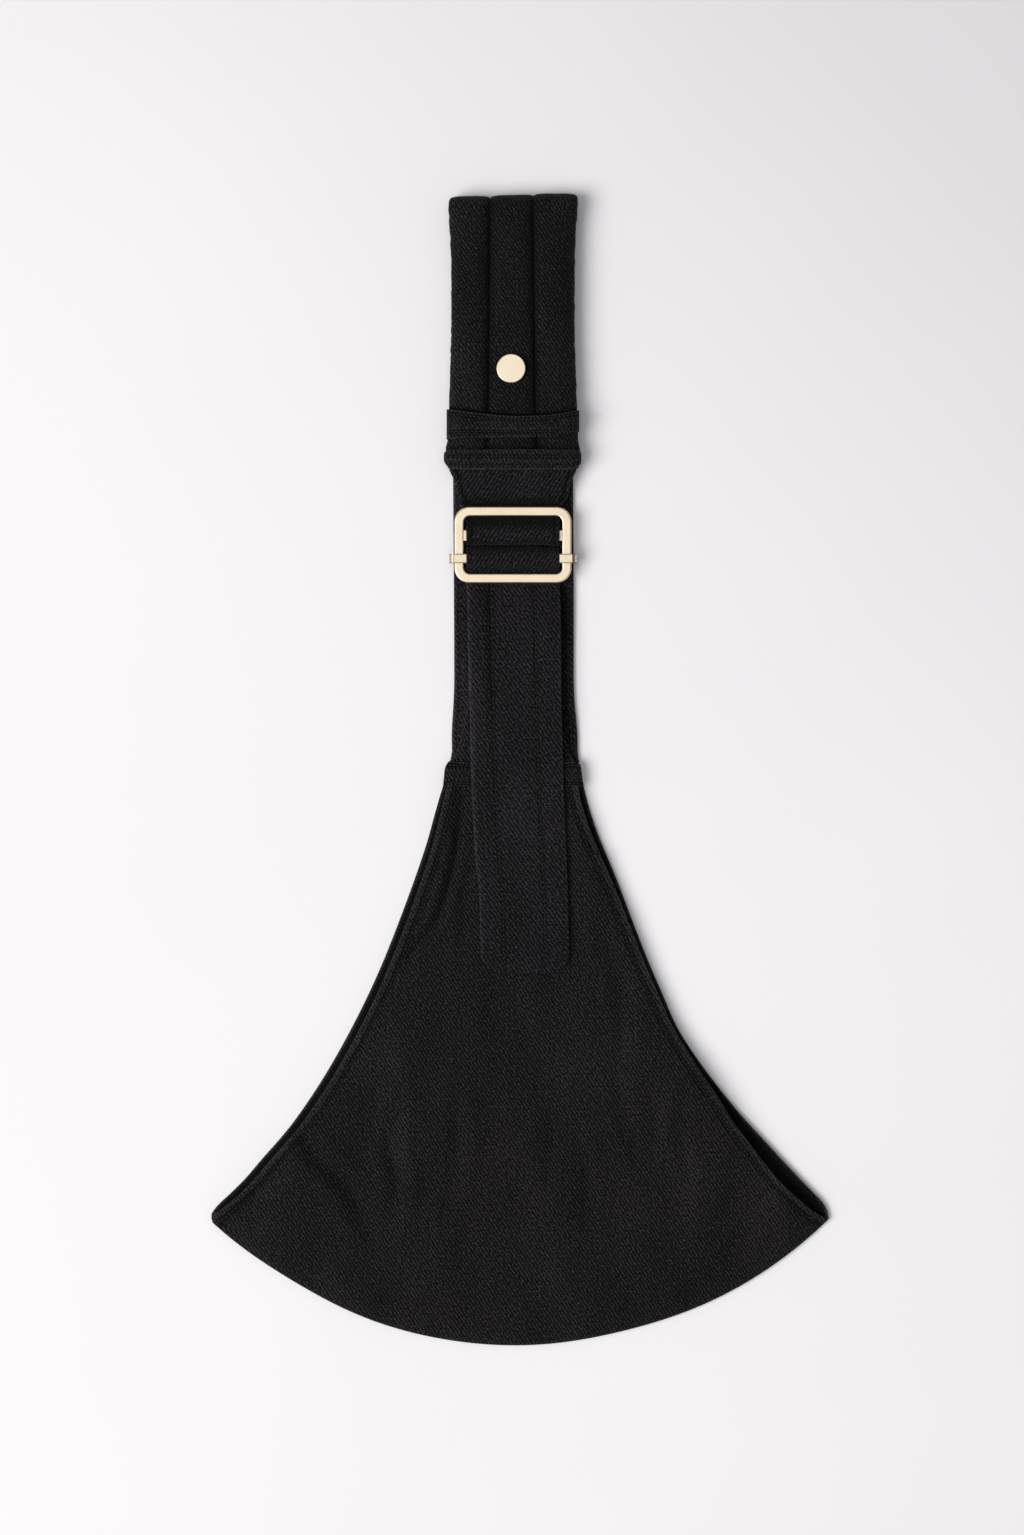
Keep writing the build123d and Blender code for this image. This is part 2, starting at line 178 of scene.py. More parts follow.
def pillow(mid, half, edge, uv, painted_light_and_wear=None, crisp=(False, False)):
    """One closed solid of cloth round a middle surface, its border rounded off.

    Its fifth argument says how far painted shade darkens the cloth at each point, and where
    negative how far a painted highlight lightens it. Its border is paler: worn, and a painted highlight.
    """
    n, m = mid.shape[:2]
    near = np.clip(border_distance(mid, crisp) / edge, 0, 1)
    thick = half * np.sqrt(1 - (1 - near) ** 2)
    offset = surface_normals(mid) * thick[..., None]
    top = np.arange(n * m).reshape(n, m)
    low = top.copy()
    low[1:-1, 1:-1] = n * m + np.arange((n - 2) * (m - 2)).reshape(n - 2, m - 2)
    verts = np.concatenate([(mid + offset).reshape(-1, 3), (mid - offset)[1:-1, 1:-1].reshape(-1, 3)])
    coords = np.concatenate([uv.reshape(-1, 2), uv[1:-1, 1:-1].reshape(-1, 2)])
    faces = np.concatenate([quads(top), quads(low)[:, ::-1]])
    painted_light_and_wear = np.zeros((n, m)) if painted_light_and_wear is None else np.broadcast_to(painted_light_and_wear, (n, m))
    # Borders are paler: worn, and a painted highlight where they catch the light.
    painted_light_and_wear = painted_light_and_wear - EDGE_WEAR_AND_HIGHLIGHT * (1 - near)
    return verts, faces, coords, 0, np.concatenate([painted_light_and_wear.ravel(), painted_light_and_wear[1:-1, 1:-1].ravel()])


def thread(points, normals, lift, pitch=2.9, length=2.25, radius=0.27):
    """A row of raised stitches along a line of points.

    lift is how high they stand over it, pitch their spacing, and length and radius their size.
    """
    step = np.linalg.norm(np.diff(points, axis=0), axis=1)
    along = np.concatenate([[0], np.cumsum(step)])
    count = max(1, int(along[-1] // pitch))
    start = (along[-1] - count * pitch) / 2 + (pitch - length) / 2 + pitch * np.arange(count)
    ring = np.array([0, 0.16, 0.5, 0.84, 1])
    where = start[:, None] + length * ring[None, :]
    swell = np.array([0.45, 0.9, 1, 0.9, 0.45]) * radius
    rise = np.array([-0.9, 0.1, 0.45, 0.1, -0.9]) * radius

    def at(field, t):
        return np.stack([np.interp(t, along, field[:, k]) for k in range(3)], -1)

    centre = at(points, where)
    ahead = at(points, where + 0.3) - at(points, where - 0.3)
    ahead /= np.maximum(np.linalg.norm(ahead, axis=-1, keepdims=True), 1e-9)
    up = at(normals, where)
    side = np.cross(up, ahead)
    centre = centre + up * (lift + rise[None, :, None])
    wide = side * swell[None, :, None]
    tall = up * swell[None, :, None] * 0.8
    verts = np.stack([centre + wide, centre + tall, centre - wide, centre - tall], 2)
    s, r = verts.shape[:2]
    index = np.arange(s * r * 4).reshape(s, r, 4)
    faces = []
    for k in range(r - 1):
        for c in range(4):
            e = (c + 1) % 4
            corners = [index[:, k, c], index[:, k, e], index[:, k + 1, e], index[:, k + 1, c]]
            faces.append(np.stack(corners, 1))
    faces.append(index[:, 0, ::-1])
    faces.append(index[:, -1, :])
    flat = verts.reshape(-1, 3)
    return flat, np.concatenate(faces), flat[:, :2], 1, np.zeros(len(flat))


def cloth_object(name, verts, faces, coords, painted_light_and_wear, materials, numbers=None):
    """One object from points and cloth coordinates in mm. numbers are the materials of its faces."""
    mesh = bpy.data.meshes.new(name)
    mesh.from_pydata((verts * MM).tolist(), [], faces)
    if numbers is not None:
        mesh.polygons.foreach_set("material_index", numbers.astype(np.int32))
    mesh.polygons.foreach_set("use_smooth", np.ones(len(faces), bool))
    corners = np.empty(len(mesh.loops), np.int32)
    mesh.loops.foreach_get("vertex_index", corners)
    layer = mesh.uv_layers.new(name="cloth")
    layer.data.foreach_set("uv", (coords[corners] * MM).astype(np.float32).ravel())
    # The painted shade, painted highlight and worn borders reach the material through this attribute.
    field = mesh.attributes.new("painted_light_and_wear", "FLOAT", "POINT")
    field.data.foreach_set("value", painted_light_and_wear.astype(np.float32))
    work = bmesh.new()
    work.from_mesh(mesh)
    bmesh.ops.recalc_face_normals(work, faces=work.faces)
    work.to_mesh(mesh)
    work.free()
    for material in materials:
        mesh.materials.append(material)
    obj = bpy.data.objects.new(name, mesh)
    bpy.context.scene.collection.objects.link(obj)
    return obj


def piece(name, parts, materials):
    """Join parts (points, faces, cloth coordinates, material number, painted shade and wear) into one
    object.
    """
    verts, faces, coords, numbers, painted_light_and_wear = [], [], [], [], []
    base = 0
    for part_verts, part_faces, part_coords, number, part_light_and_wear in parts:
        verts.append(part_verts)
        faces.append(part_faces + base)
        coords.append(part_coords)
        numbers.append(np.full(len(part_faces), number))
        painted_light_and_wear.append(part_light_and_wear)
        base += len(part_verts)
    verts, coords, painted_light_and_wear = np.concatenate(verts), np.concatenate(coords), np.concatenate(painted_light_and_wear)
    faces = np.concatenate(faces).tolist()
    return cloth_object(name, verts, faces, coords, painted_light_and_wear, materials, np.concatenate(numbers))


# ------------------------------ materials

def node(tree, kind, **values):
    """Add a node; numbered keys i0, i1... fill its inputs by place."""
    n = tree.nodes.new(kind)
    for key, value in values.items():
        if key[0] == "i" and key[1:].isdigit():
            if isinstance(value, bpy.types.NodeSocket):
                tree.links.new(value, n.inputs[int(key[1:])])
            else:
                n.inputs[int(key[1:])].default_value = value
        else:
            setattr(n, key, value)
    return n


def maths(tree, operation, a, b=0.0, c=0.0):
    return node(tree, "ShaderNodeMath", operation=operation, i0=a, i1=b, i2=c).outputs[0]


def plus(tree, a, b):
    return maths(tree, "ADD", a, b)


def times(tree, a, b):
    return maths(tree, "MULTIPLY", a, b)


def dot(tree, a, b):
    return node(tree, "ShaderNodeVectorMath", operation="DOT_PRODUCT", i0=a, i1=b).outputs[1]


def scaled(tree, colour, factor):
    n = node(tree, "ShaderNodeVectorMath", operation="SCALE", i0=colour)
    tree.links.new(factor, n.inputs["Scale"])
    return n.outputs[0]


def noise(tree, place, scale, detail, roughness=0.5):
    return node(tree, "ShaderNodeTexNoise", i0=place, i2=scale, i3=detail, i4=roughness).outputs[0]


def stretched(tree, place, scale):
    n = node(tree, "ShaderNodeMapping", i0=place)
    n.inputs["Scale"].default_value = scale
    return n.outputs[0]


def smooth_range(tree, value, low, high, to_low=0.0, to_high=1.0):
    """From to_low at low to to_high at high, smooth between."""
    n = node(tree, "ShaderNodeMapRange", interpolation_type="SMOOTHSTEP", i0=value, i1=low, i2=high,
             i3=to_low, i4=to_high)
    return n.outputs[0]


def bumpy(tree, shader, height, distance, strength):
    n = node(tree, "ShaderNodeBump")
    n.inputs["Strength"].default_value = strength
    n.inputs["Distance"].default_value = distance
    tree.links.new(height, n.inputs["Height"])
    tree.links.new(n.outputs[0], shader.inputs["Normal"])


def object_place(tree):
    return node(tree, "ShaderNodeTexCoord").outputs["Object"]


def blank(name):
    """A material with only its shader and output."""
    m = bpy.data.materials.new(name)
    m.use_nodes = True
    return m, m.node_tree, m.node_tree.nodes["Principled BSDF"]


def colours(tree, factor, stops):
    """A colour ramp through (place, colour) stops."""
    ramp = node(tree, "ShaderNodeValToRGB", i0=factor)
    ramp.color_ramp.elements[0].position, ramp.color_ramp.elements[1].position = 0, 1
    while len(ramp.color_ramp.elements) < len(stops):
        ramp.color_ramp.elements.new(0.5)
    for element, (place, colour) in zip(ramp.color_ramp.elements, stops):
        element.position, element.color = place, (*colour, 1)
    return ramp.outputs[0]


WALE_ANGLE = math.radians(57)
BEAD = 1.1 * MM


def twill(name, dark, light, wale=2.0, sheen=0.05):
    """Black cotton twill: steep diagonal wales of small yarn beads, with slight fading and lint, and the
    painted shade, painted highlight and worn borders that its mesh carries.

    dark and light are the colours between and on the wales, and wale is their spacing in mm.
    """
    m, tree, shader = blank(name)
    uv = node(tree, "ShaderNodeUVMap", uv_map="cloth").outputs[0]
    across = (math.sin(WALE_ANGLE) / (wale * MM), math.cos(WALE_ANGLE) / (wale * MM), 0)
    along = (math.cos(WALE_ANGLE) / BEAD, -math.sin(WALE_ANGLE) / BEAD, 0)
    sway = noise(tree, uv, 300.0, 3.0)
    lane = plus(tree, dot(tree, uv, across), times(tree, sway, 0.8))
    bead = plus(tree, dot(tree, uv, along), times(tree, maths(tree, "FLOOR", lane), 0.37))
    turn = 2 * math.pi
    wave = maths(tree, "MULTIPLY_ADD", maths(tree, "SINE", times(tree, lane, turn)), 0.5, 0.5)
    yarn = maths(tree, "MULTIPLY_ADD", maths(tree, "SINE", times(tree, bead, turn)), 0.25, 0.75)
    fuzz = noise(tree, uv, 1700.0, 3.0)
    speck = noise(tree, uv, 620.0, 3.0, 0.7)
    height = plus(tree, times(tree, times(tree, wave, yarn), 0.75), times(tree, fuzz, 0.4))
    fade = noise(tree, stretched(tree, uv, (1.0, 0.4, 1.0)), 34.0, 4.0)
    # Painted shade and painted highlight from the mesh, with its worn borders.
    painted_light_and_wear = node(tree, "ShaderNodeAttribute", attribute_name="painted_light_and_wear").outputs["Fac"]
    tone = -1.89  # centres the sum of the weighted parts on the ramp
    for part, weight in ((height, 0.95), (fade, 0.6), (speck, 2.9), (painted_light_and_wear, -0.5)):
        tone = plus(tree, times(tree, part, weight), tone)
    mid = tuple(0.36 * (d + l) for d, l in zip(dark, light))
    ramp = colours(tree, tone, [(0.12, dark), (0.5, mid), (0.88, light)])
    tree.links.new(ramp, shader.inputs["Base Color"])
    tree.links.new(maths(tree, "MULTIPLY_ADD", height, -0.12, 0.95), shader.inputs["Roughness"])
    bumpy(tree, shader, height, 0.4 * MM, 0.8)
    shader.inputs["Specular IOR Level"].default_value = 0.12
    shader.inputs["Sheen Weight"].default_value = sheen
    shader.inputs["Sheen Roughness"].default_value = 0.5
    shader.inputs["Sheen Tint"].default_value = (0.75, 0.72, 0.76, 1)
    return m


def sewing_thread():
    """Black spun thread, a little shinier than the cloth."""
    m, tree, shader = blank("sewing_thread")
    ply = noise(tree, object_place(tree), 2600.0, 2.0)
    ramp = colours(tree, ply, [(0.3, (0.006, 0.0055, 0.006)), (0.7, (0.055, 0.051, 0.056))])
    tree.links.new(ramp, shader.inputs["Base Color"])
    bumpy(tree, shader, ply, 0.1 * MM, 0.5)
    shader.inputs["Roughness"].default_value = 0.7
    shader.inputs["Specular IOR Level"].default_value = 0.18
    return m


# The sliding bar's folded ends, in m: the y of their centre, half their length, and |x| of their bend.
BAR_CLIP = (0.1343, 0.0029, 0.0383)


def clip_shadow_lines(tree, place):
    """Painted shadow: 1 on the edges of the sliding bar's folded ends and along their bend, 0 elsewhere.
    """
    x, y, _ = node(tree, "ShaderNodeSeparateXYZ", i0=place).outputs
    centre, half, bend = BAR_CLIP
    from_centre = maths(tree, "ABSOLUTE", maths(tree, "SUBTRACT", y, centre))
    from_bend = maths(tree, "ABSOLUTE", maths(tree, "SUBTRACT", maths(tree, "ABSOLUTE", x), bend))
    edges = smooth_range(tree, from_centre, half - 0.9 * MM, half - 0.3 * MM)
    return maths(tree, "MAXIMUM", edges, smooth_range(tree, from_bend, 0.9 * MM, 0.3 * MM))


def plated(name, base, deep, rough, clip_shadows=False):
    """Pale gold plating with a fine satin grain, tiny pits, a slightly cloudy tone and optional painted
    shadow.
    """
    m, tree, shader = blank(name)
    place = object_place(tree)
    grain = noise(tree, stretched(tree, place, (1.0, 7.0, 7.0)), 900.0, 4.0)
    cloud = noise(tree, place, 90.0, 5.0)
    pits = noise(tree, place, 1500.0, 2.0)
    colour = colours(tree, cloud, [(0.3, deep), (0.68, base)])
    # Painted shadow round the sliding bar's folded ends, where they fold over the frame.
    if clip_shadows:
        colour = scaled(tree, colour, maths(tree, "MULTIPLY_ADD", clip_shadow_lines(tree, place), -0.62, 1.0))
    tree.links.new(colour, shader.inputs["Base Color"])
    mix = plus(tree, times(tree, grain, 0.16), times(tree, cloud, 0.14))
    tree.links.new(plus(tree, mix, rough - 0.15), shader.inputs["Roughness"])
    bumpy(tree, shader, plus(tree, grain, pits), 0.05 * MM, 0.35)
    shader.inputs["Metallic"].default_value = 1.0
    return m


def paper():
    """Plain pale floor with the faintest mottling, a little dimmer to the upper right by painted shade.
    """
    m, tree, shader = blank("studio_floor")
    place = object_place(tree)
    cloud = noise(tree, place, 3.0, 3.0)
    tint = colours(tree, cloud, [(0.3, (0.86, 0.85, 0.862)), (0.7, (0.88, 0.87, 0.88))])
    # Painted shade: the floor dims a little towards the upper right.
    dim = smooth_range(tree, dot(tree, place, (0.75, 1.0, 0)), 0.1, 0.8, 1.0, 0.87)
    tree.links.new(scaled(tree, tint, dim), shader.inputs["Base Color"])
    shader.inputs["Roughness"].default_value = 0.9
    shader.inputs["Specular IOR Level"].default_value = 0.1
    return m


TWILL = twill("black_twill", (0.0006, 0.0005, 0.0006), (0.0310, 0.0282, 0.0305))
STRAP_TWILL = twill("black_twill_strap", (0.0007, 0.0006, 0.0008), (0.0350, 0.0315, 0.0370), wale=2.2)
# A darker copy of the twill: painted shade for the linings inside the pouch and the padded section.
INSIDE_SHADED = twill("black_twill_inside_shaded", (0.0006, 0.0006, 0.0006), (0.0080, 0.0078, 0.0080), wale=1.5,
               sheen=0.02)
THREAD = sewing_thread()
GOLD = plated("pale_gold_frame", (0.80, 0.685, 0.515), (0.74, 0.62, 0.455), 0.38)
GOLD_BAR = plated("pale_gold_bar", (0.74, 0.635, 0.475), (0.64, 0.535, 0.385), 0.24, clip_shadows=True)
GOLD_BUTTON = plated("pale_gold_button", (0.84, 0.73, 0.565), (0.78, 0.665, 0.50), 0.34)

# ------------------------------ pouch

# The bottom seam's arc: centre and radius.
SEAM_X, SEAM_Y, SEAM_R = 3.5, -85.0, 283.3
# The back panel's side edges, as (y, x), and how far the front panel's lie inside them.
LEFT_SIDE = curve([
    (5.2, -40.2), (3.5, -41.8), (1.0, -42.7), (-4.0, -43.6), (-9.8, -44.6), (-18, -47.0),
    (-32.9, -51.2), (-45, -54.5), (-83.7, -67.8), (-134.9, -88.3), (-186.1, -114.6), (-226, -140.7),
    (-251.7, -162.6), (-262.1, -171.5), (-271.7, -181.1), (-280.5, -190.2), (-286.0, -193.4),
    (-289.5, -192.6),
])
RIGHT_SIDE = curve([
    (5.2, 41.2), (3.5, 42.8), (1.0, 43.6), (-4.0, 44.2), (-9.8, 45.1), (-32.5, 51.2), (-70.9, 66.5),
    (-122.1, 86.2), (-145, 96.1), (-160, 102.5), (-173.3, 109.9), (-213.3, 139.3), (-243.5, 166.4),
    (-259.4, 181.2), (-270.9, 192.3), (-276.7, 197.7), (-282.4, 200.8), (-286.8, 201.6),
])
LEFT_TIP, RIGHT_TIP = -289.5, -286.8
LEFT_INSET = curve([
    (4, 0.6), (-20, 3.4), (-60, 4.6), (-120, 5.2), (-170, 5.6), (-226, 6.0), (-252, 6.0),
    (-271.7, 6.2), (-281, 4.6), (-286, 1.6), (-289.5, 0.6),
])
RIGHT_INSET = curve([
    (4, 0.6), (-19.7, 4.2), (-58, 3.8), (-96, 2.8), (-173, 2.8), (-200, 4.4), (-213.3, 6.2),
    (-227, 9.4), (-240, 11.4), (-252.2, 13.4), (-263.7, 14.4), (-272.4, 13.6), (-279.5, 11.2),
    (-283.9, 6.0), (-286.8, 1.0),
])
PANEL_TOP = 3.4
EDGE_SAMPLES = 400


def seam_radius(x):
    """Radius of the bottom seam, drawn in a little at the lower left and right of the middle."""
    return SEAM_R - 1.7 * bell(x + 143, 38) - 1.3 * bell(x - 72, 46)


def side_lines(front):
    """The left and right edges of a panel from its tip up to its top, as (x, y) lines."""
    out = []
    for edge, inset, tip in ((LEFT_SIDE, LEFT_INSET, LEFT_TIP), (RIGHT_SIDE, RIGHT_INSET, RIGHT_TIP)):
        y = np.linspace(tip, PANEL_TOP, EDGE_SAMPLES)
        x = edge(y)
        if front:
            x = x - np.sign(x) * inset(y)
        out.append(np.stack([x, y], 1))
    return out


def shares(line, t):
    """Points of a line at shares t of its length."""
    along = np.concatenate([[0], np.cumsum(np.linalg.norm(np.diff(line, axis=0), axis=1))])
    return np.stack([np.interp(t * along[-1], along, line[:, k]) for k in range(2)], -1)


def panel_grid(front, inset, rows, columns, hem):
    """Points of a pouch panel in plan. Its outer columns keep their distance from the side edges."""
    left, right = side_lines(front)
    v = spread(0, 1, 1 / rows, 0.006)
    a, b = shares(left, v), shares(right, v)
    a[:, 0] += inset
    b[:, 0] -= inset
    low_angle = np.arctan2(a[0, 0] - SEAM_X, -(a[0, 1] - SEAM_Y))
    high_angle = np.arctan2(b[0, 0] - SEAM_X, -(b[0, 1] - SEAM_Y))
    out = []
    for k, s in enumerate(v):
        span = np.linalg.norm(b[k] - a[k])
        sample = int(s * (EDGE_SAMPLES - 1)) if s > 0 else 1
        tangent = left[sample - 1] - left[sample]
        slant = abs(tangent[1]) / max(1e-9, np.hypot(*tangent))
        near = np.array(hem) / max(slant, 0.55) / span
        middle = np.linspace(near[-1], 1 - near[-1], columns + 2)[1:-1]
        u = np.concatenate([near, middle, 1 - near[::-1]])
        chord = a[k] + (b[k] - a[k]) * u[:, None]
        angle = low_angle + (high_angle - low_angle) * u
        radius = seam_radius(SEAM_X + SEAM_R * np.sin(angle)) - inset
        arc = np.stack([SEAM_X + radius * np.sin(angle), SEAM_Y - radius * np.cos(angle)], 1)
        ends = a[0] + (b[0] - a[0]) * u[:, None]
        out.append(chord + (arc - ends) * ((1 - s) ** 1.35))
    return np.array(out)


FOLDS = [
    # line in plan, depth, half width
    ([(-31, -6), (-32, -27), (-34, -38), (-36.5, -56), (-39.3, -69), (-43.7, -84), (-48.5, -97),
      (-54, -105), (-63, -116), (-70, -132)], 3.9, 2.7),
    ([(-24, -40), (-27, -75), (-31, -110), (-30, -135)], 1.4, 3.6),
    ([(-72, -214), (-78, -240), (-73, -268), (-84, -300)], 2.5, 4.6),
    ([(-36, -205), (-34, -232), (-37, -262), (-48, -300)], 1.8, 4.4),
    ([(-140, -226), (-122, -250), (-102, -272), (-88, -305)], 2.7, 5.0),
    ([(5, -138), (8, -170), (3, -205), (8, -232)], 1.5, 4.0),
    ([(24, -150), (19, -200), (24, -240), (16, -280)], 1.3, 4.4),
    ([(58, -100), (70, -150), (68, -205), (84, -262)], 1.7, 4.8),
    ([(112, -205), (107, -232), (116, -266)], 2.1, 4.2),
    ([(40, -228), (48, -262), (44, -300)], 1.2, 4.2),
    ([(-150, -282), (-140, -272), (-128, -270), (-112, -280)], 1.2, 3.6),
    ([(150, -262), (138, -278), (124, -300)], 1.3, 4.0),
    ([(46, -42), (54, -50), (60, -52)], 0.9, 2.6),
    ([(44, -58), (54, -66), (64, -68)], 0.8, 2.8),
]
HEM_LINE = 5.2
HEM = (0, 0.1, 0.35, 0.8, 1.6, 3.0, *(HEM_LINE + BESIDE), 7.8)


def fold_depth(x, y):
    """How far the folds push the front panel in."""
    total = np.zeros(np.shape(x))
    q = np.stack([np.ravel(x), np.ravel(y)], 1)
    for points, depth, width in FOLDS:
        line, along = path(points, 2.0)
        gap = np.linalg.norm(q[:, None, :] - line[None], axis=2)
        t = along[gap.argmin(1)] / along[-1]
        fade = np.sin(np.pi * np.clip(0.08 + 0.92 * t, 0, 1)) ** 0.7
        d = gap.min(1)
        section = bell(d, width) - 0.45 * bell(d - 2.2 * width, width)
        total += (depth * fade * section).reshape(np.shape(x))
    return total


FRONT_LOW, FRONT_RISE, FRONT_ROLL = 1.9, 5.75, 20  # at the seam, above it, and over how much cloth
FRONT_MOST = 11.6


def front_height(x, y, side):
    """Middle surface of the front panel, from its plan position and distance to a side edge."""
    seam = seam_radius(x) - np.hypot(x - SEAM_X, y - SEAM_Y)
    roll = np.clip(seam / FRONT_ROLL, 0, 1)
    z = FRONT_LOW + FRONT_RISE * np.sqrt(1 - (1 - roll) ** 2)
    under_tail = ease(46, 34, abs(x - 6)) * ease(-245, -225, y)
    free = ease(0, 25, seam) * (1 - 0.75 * under_tail)
    loose = free * ease(0, -30, y)
    z = z - fold_depth(x, y) * free * ease(2, -14, y)
    # Waves where the cloth is loose, and puckers along the seam.
    z = z + loose * (0.8 * ripple(x, y * 0.7, 95, 3) + 0.62 * ripple(x, y * 0.5, 30, 5))
    z = z + loose * 0.2 * ripple(x, y * 0.35, 13, 7) * ease(-0.6, 0.8, ripple(x, y, 70, 9))
    z = z + 0.22 * ripple(x * 1.3, y, 13, 6) * ease(26, 8, seam) * ease(0, 3, seam)
    # Fuller along the lower right edge, and low down beside the tail.
    swell = ease(40, 110, x) * ease(-150, -215, y) * ease(0, 30, seam)
    z = z + 2.6 * swell * bell(side, 34) + 1.2 * ease(-60, -140, y) * (1 - under_tail) * loose
    hem = ease(HEM_LINE + 0.9, HEM_LINE - 0.9, side)
    z = z + 0.4 * hem - 0.4 * bell(side - HEM_LINE, 0.9) * ease(-1, -12, y)
    return np.minimum(z, FRONT_MOST - 3.55 * under_tail)


def back_height(x, y, side):
    """Middle surface of the back panel, which lies on the floor."""
    seam = seam_radius(x) - np.hypot(x - SEAM_X, y - SEAM_Y)
    hem = ease(HEM_LINE + 0.9, HEM_LINE - 0.9, side)
    z = 0.62 + 0.5 * bell(seam, 4) + 0.25 * hem
    lift = ease(-30, -120, y) * ease(0, 14, seam)
    edge = bell(side, 5) * lift * (0.7 + 0.3 * ease(60, 160, x))
    edge = edge + 1.5 * bell(side, 2.6) * ease(20, 40, x) * ease(-8, -40, y)
    return z + edge + 0.12 * lift * (1 + ripple(x, y, 60, 8))


def hem_row(line, inward, height, half):
    """The row of stitches HEM_LINE inside a side edge, on the surface that height() gives."""
    step = np.gradient(line, axis=0)
    step /= np.linalg.norm(step, axis=1, keepdims=True)
    row = line + inward * HEM_LINE * np.stack([-step[:, 1], step[:, 0]], 1)
    row = row[distance_to(row[:, 0], row[:, 1], line) > 0.97 * HEM_LINE]
    row = row[np.hypot(row[:, 0] - SEAM_X, row[:, 1] - SEAM_Y) < seam_radius(row[:, 0]) - 3]
    row = row[row[:, 1] < -4]

    def lift(dx, dy):
        x, y = row[:, 0] + dx, row[:, 1] + dy
        return height(x, y, distance_to(x, y, line))

    reach = 0.4
    slope_x = (lift(reach, 0) - lift(-reach, 0)) / (2 * reach)
    slope_y = (lift(0, reach) - lift(0, -reach)) / (2 * reach)
    up = np.stack([-slope_x, -slope_y, np.ones(len(row))], 1)
    up /= np.linalg.norm(up, axis=1, keepdims=True)
    return thread(np.column_stack([row, lift(0, 0)]), up, half + 0.05)


def panel(name, front, inner, rows, columns, half):
    """One layer of the pouch: front or back, outer or lining. half is half its thickness."""
    inset = 1.6 if inner else 0.0
    xy = panel_grid(front, inset, rows, columns, HEM)
    if inner:
        centre = np.array([SEAM_X, SEAM_Y])
        out = xy - centre
        reach = np.linalg.norm(out, axis=2, keepdims=True)
        xy = centre + out * np.minimum(1, (seam_radius(xy[..., :1]) - 3.5) / reach)
    x, y = xy[..., 0], xy[..., 1]
    left, right = side_lines(front)
    side = np.minimum(distance_to(x, y, left), distance_to(x, y, right))
    height = front_height if front else back_height
    z = height(x, y, side)
    if inner:
        z = z - 1.05 if front else z + 0.85 + 0.1 * bell(side, 8)
    mid = np.dstack([x, y, z])
    painted_light_and_wear = 0 * x
    if not inner:
        # Painted highlight along the panel's edge, painted shade along the hem's stitch groove, and a
        # painted highlight on the hem between them.
        rim_highlight, rim_width = (0.5, 1.3) if front else (0.75, 2.2)
        stitches = 2.3 * bell(side - HEM_LINE, 0.85) - 0.35 * bell(side - HEM_LINE + 2.6, 1.6)
        painted_light_and_wear = stitches - rim_highlight * bell(side, rim_width)
    parts = [pillow(mid, half, 0.9, xy, painted_light_and_wear)]
    if not inner:
        parts += [hem_row(left, -1, height, half), hem_row(right, 1, height, half)]
    # Linings take the copy of the twill darkened with painted shade.
    return piece(name, parts, [INSIDE_SHADED if inner else TWILL, THREAD])


front_panel = panel("front_panel", front=True, inner=False, rows=170, columns=150, half=0.42)
front_lining = panel("front_panel_lining", front=True, inner=True, rows=70, columns=60, half=0.32)
back_panel = panel("back_panel", front=False, inner=False, rows=110, columns=90, half=0.42)
back_lining = panel("back_panel_lining", front=False, inner=True, rows=70, columns=60, half=0.30)

# ------------------------------ straps


def strap(line, half_width, shift, half, edge=1.0, lines=(), step=3.0, row_step=2.5, profile=None,
          materials=None, name="strap", corner=None, skip=(2, 2), crisp=(False, False), shade=None):
    """A strap whose middle line runs through (y, z) points.

    half_width and shift are functions of y, half is half its thickness and edge the width of its
    rounded border. lines are stitch rows, as offsets from its middle, which leave out the first
    and last rows of points that skip says; painted shade lies along their grooves. profile(x, s, y)
    lifts its face, shade(x, y) is the painted shade on it, a painted highlight where negative, and
    corner is the y of its end and the radius of that end's corners.
    """
    p, s = path(line)
    at = spread(0, s[-1], row_step, edge, (), crisp)
    y, z = np.interp(at, s, p[:, 0]), np.interp(at, s, p[:, 1])
    w, c = half_width(y), shift(y)
    if corner:
        low, radius = corner
        d = np.clip(y - low, 0, radius)
        w = w - radius + np.sqrt(np.maximum(radius**2 - (radius - d) ** 2, 0))
    base = float(np.max(w))
    u = spread(-base, base, step, edge, lines)
    near = abs(u) > base - edge - 1e-6
    inner = u * np.minimum(1, (w[:, None] - edge) / (base - edge))
    x = np.where(near, np.sign(u) * (w[:, None] - (base - abs(u))), inner)
    dy, dz = np.gradient(y), np.gradient(z)
    size = np.hypot(dy, dz)
    along = at[:, None]
    y, z, c, ny, nz = (v[:, None] for v in (y, z, c, -dz / size, dy / size))
    rise = np.zeros(x.shape) if profile is None else profile(x, along, y)
    painted_light_and_wear = np.zeros(x.shape) if shade is None else shade(x, y) + 0 * x
    # Each stitch row sinks the face a little and gets painted shade along its groove.
    for line_x in lines:
        rise = rise - 0.3 * bell(u - line_x, 0.7)
        painted_light_and_wear = painted_light_and_wear + 1.15 * bell(u - line_x, 0.8)
    mid = np.dstack([x + c, y + ny * rise, z + nz * rise])
    uv = np.dstack([x, np.broadcast_to(along + y[0], x.shape)])
    parts = [pillow(mid, half, edge, uv, painted_light_and_wear, crisp)]
    up = surface_normals(mid)
    for line_x in lines:
        k = int(abs(u - line_x).argmin())
        keep = slice(skip[0], len(at) - skip[1])
        parts.append(thread(mid[keep, k], up[keep, k], half))
    return piece(name, parts, materials or [STRAP_TWILL, THREAD])


def level(value):
    """A function that is the same everywhere."""
    return lambda y: np.full(np.shape(y), float(value))


def soft(amount, seed, size=40):
    """Slight unevenness of a strap's face."""
    return lambda x, s, y: amount * ripple(x + 0 * s, s + 0 * x, size, seed)


